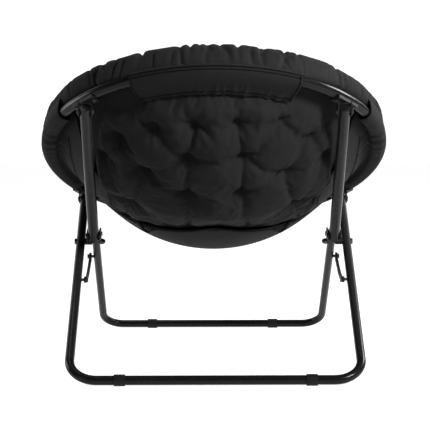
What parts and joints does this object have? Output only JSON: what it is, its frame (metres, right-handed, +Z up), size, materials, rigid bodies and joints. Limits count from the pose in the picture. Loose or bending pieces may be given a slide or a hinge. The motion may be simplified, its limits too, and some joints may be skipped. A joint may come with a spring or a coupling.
{
  "type": "folding saucer chair",
  "caption": "Folding saucer chair with a round tube ring, tufted fabric bowl seat, crossed tube legs, rear struts and side stays.",
  "frame": {"origin": "floor level under the centre of the chair's bounding box", "axes": "+X across the chair, +Y towards its back, +Z up; the seat faces -Y"},
  "size_m": [0.8038, 0.7408, 0.7301],
  "materials": {
    "frame_tube": "satin black powder coat",
    "bracket_steel": "satin black powder coat",
    "black_plastic": "matte black",
    "fastener_steel": "dark plated",
    "cover_fabric": "black woven polyester",
    "elastic": "black elastic cord"
  },
  "bodies": {
    "outer_legs": {"outer_leg_tube": "frame_tube", "outer_leg_plugs": "black_plastic", "cross_pivot_bolts": "fastener_steel", "cross_pivot_spacers": "black_plastic", "cross_pivot_cap_nuts": "fastener_steel", "rear_floor_clips": "black_plastic", "stay_pivot_studs": "fastener_steel", "stay_pivot_nuts": "fastener_steel"},
    "inner_legs": {"inner_leg_tube": "frame_tube", "inner_leg_plugs": "black_plastic", "inner_leg_bracket_left": "bracket_steel", "inner_leg_bracket_right": "bracket_steel", "inner_leg_rivets": "fastener_steel", "front_floor_clips": "black_plastic", "stay_catch_studs": "fastener_steel"},
    "struts": {"strut_left": "frame_tube", "strut_right": "frame_tube", "strut_plugs_left": "black_plastic", "strut_plugs_right": "black_plastic"},
    "stay_left": {"stay_left": "bracket_steel"},
    "stay_right": {"stay_right": "bracket_steel"},
    "seat_ring": {"elastic_cords": "elastic", "front_pivot_rivets": "fastener_steel", "front_ring_bracket_left": "bracket_steel", "front_ring_bracket_right": "bracket_steel", "front_sleeve": "cover_fabric", "rear_pivot_rivets": "fastener_steel", "rear_pocket": "cover_fabric", "rear_ring_bracket_left": "bracket_steel", "rear_ring_bracket_right": "bracket_steel", "rim_roll": "cover_fabric", "ring_bracket_bolts": "fastener_steel", "ring_front_half": "frame_tube", "ring_joiner_screws": "fastener_steel", "ring_joiners": "bracket_steel", "ring_rear_half": "frame_tube", "seat_back_cushion": "cover_fabric", "seat_front_panel": "cover_fabric", "side_sleeve_left": "cover_fabric", "side_sleeve_right": "cover_fabric"}
  },
  "joints": [
    {"name": "leg_fold", "type": "hinge", "parent": "outer_legs", "child": "inner_legs", "pos_m": [0, -0.03646, 0.2626], "axis": [1, 0, 0], "range_deg": [0, 105.8], "deforming": ["seat_back_cushion", "seat_front_panel", "rear_pocket", "side_sleeve_left", "side_sleeve_right", "front_sleeve", "elastic_cords"]},
    {"name": "strut_fold", "type": "hinge", "parent": "inner_legs", "child": "struts", "pos_m": [0, 0.02276, 0.28325], "axis": [1, 0, 0], "range_deg": [-191.5, 0]},
    {"name": "ring_fold", "type": "hinge", "parent": "struts", "child": "seat_ring", "pos_m": [0, 0.24872, 0.58489], "axis": [1, 0, 0], "range_deg": [0, 27.2]},
    {"name": "stay_swing_left", "type": "hinge", "parent": "outer_legs", "child": "stay_left", "pos_m": [0, 0.08084, 0.18802], "axis": [1, 0, 0], "range_deg": [0, 159]},
    {"name": "stay_swing_right", "type": "hinge", "parent": "outer_legs", "child": "stay_right", "pos_m": [0, 0.08084, 0.18802], "axis": [1, 0, 0], "range_deg": [0, 159]}
  ],
  "couplings": [
    {"joint": "strut_fold", "follows": "leg_fold", "ratio": -1.809},
    {"joint": "ring_fold", "follows": "leg_fold", "ratio": 0.25662},
    {"joint": "stay_swing_left", "follows": "leg_fold", "ratio": 1.4981},
    {"joint": "stay_swing_right", "follows": "leg_fold", "ratio": 1.4981}
  ]
}
